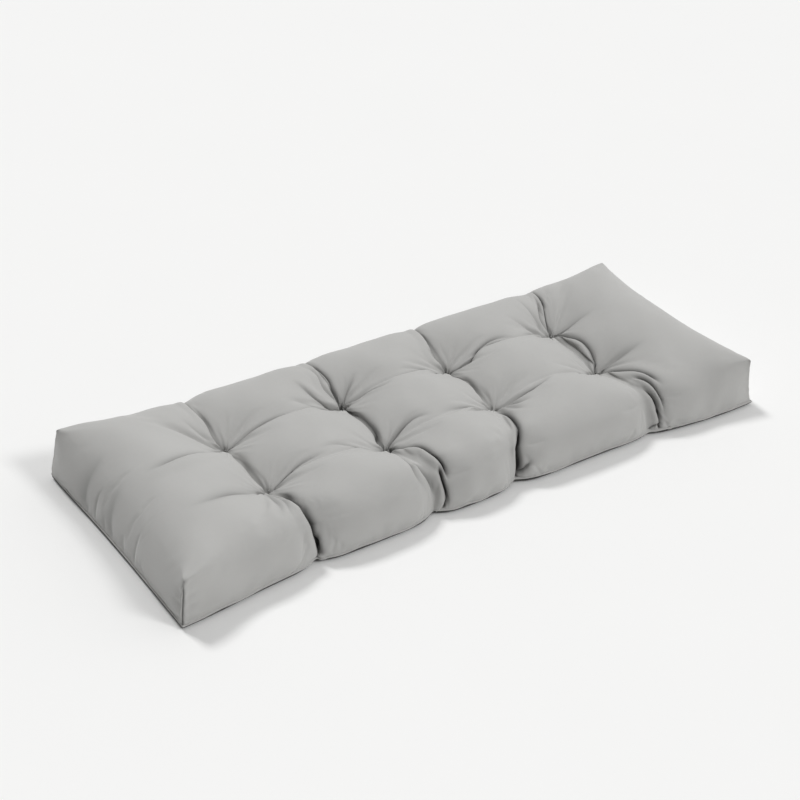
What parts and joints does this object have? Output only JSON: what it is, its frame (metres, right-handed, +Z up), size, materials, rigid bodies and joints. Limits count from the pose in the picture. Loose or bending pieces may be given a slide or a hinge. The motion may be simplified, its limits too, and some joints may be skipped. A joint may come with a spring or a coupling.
{
  "type": "tufted bench cushion",
  "caption": "Long filled seat cushion for a bench, tufted into soft pillows, with boxed corners, drawn-in sides and a flat sewn underside.",
  "frame": {"origin": "middle of the face that rests on the seat", "axes": "+X along the bench, +Y to the back edge, +Z up through the tufts"},
  "size_m": [1.3053, 0.4704, 0.122],
  "materials": {
    "cover_cloth": "plain fine weave outdoor cloth, light grey, matt with a soft sheen",
    "base_cloth": "the same plain grey cloth, matt",
    "tack_thread": "twisted grey polyester thread"
  },
  "bodies": {
    "root": {"cushion_body": "cover_cloth", "base_panel": "base_cloth", "tuft_tack_back_1": "tack_thread", "tuft_tack_back_2": "tack_thread", "tuft_tack_back_3": "tack_thread", "tuft_tack_back_4": "tack_thread", "tuft_tack_front_1": "tack_thread", "tuft_tack_front_2": "tack_thread", "tuft_tack_front_3": "tack_thread", "tuft_tack_front_4": "tack_thread"}
  },
  "joints": []
}
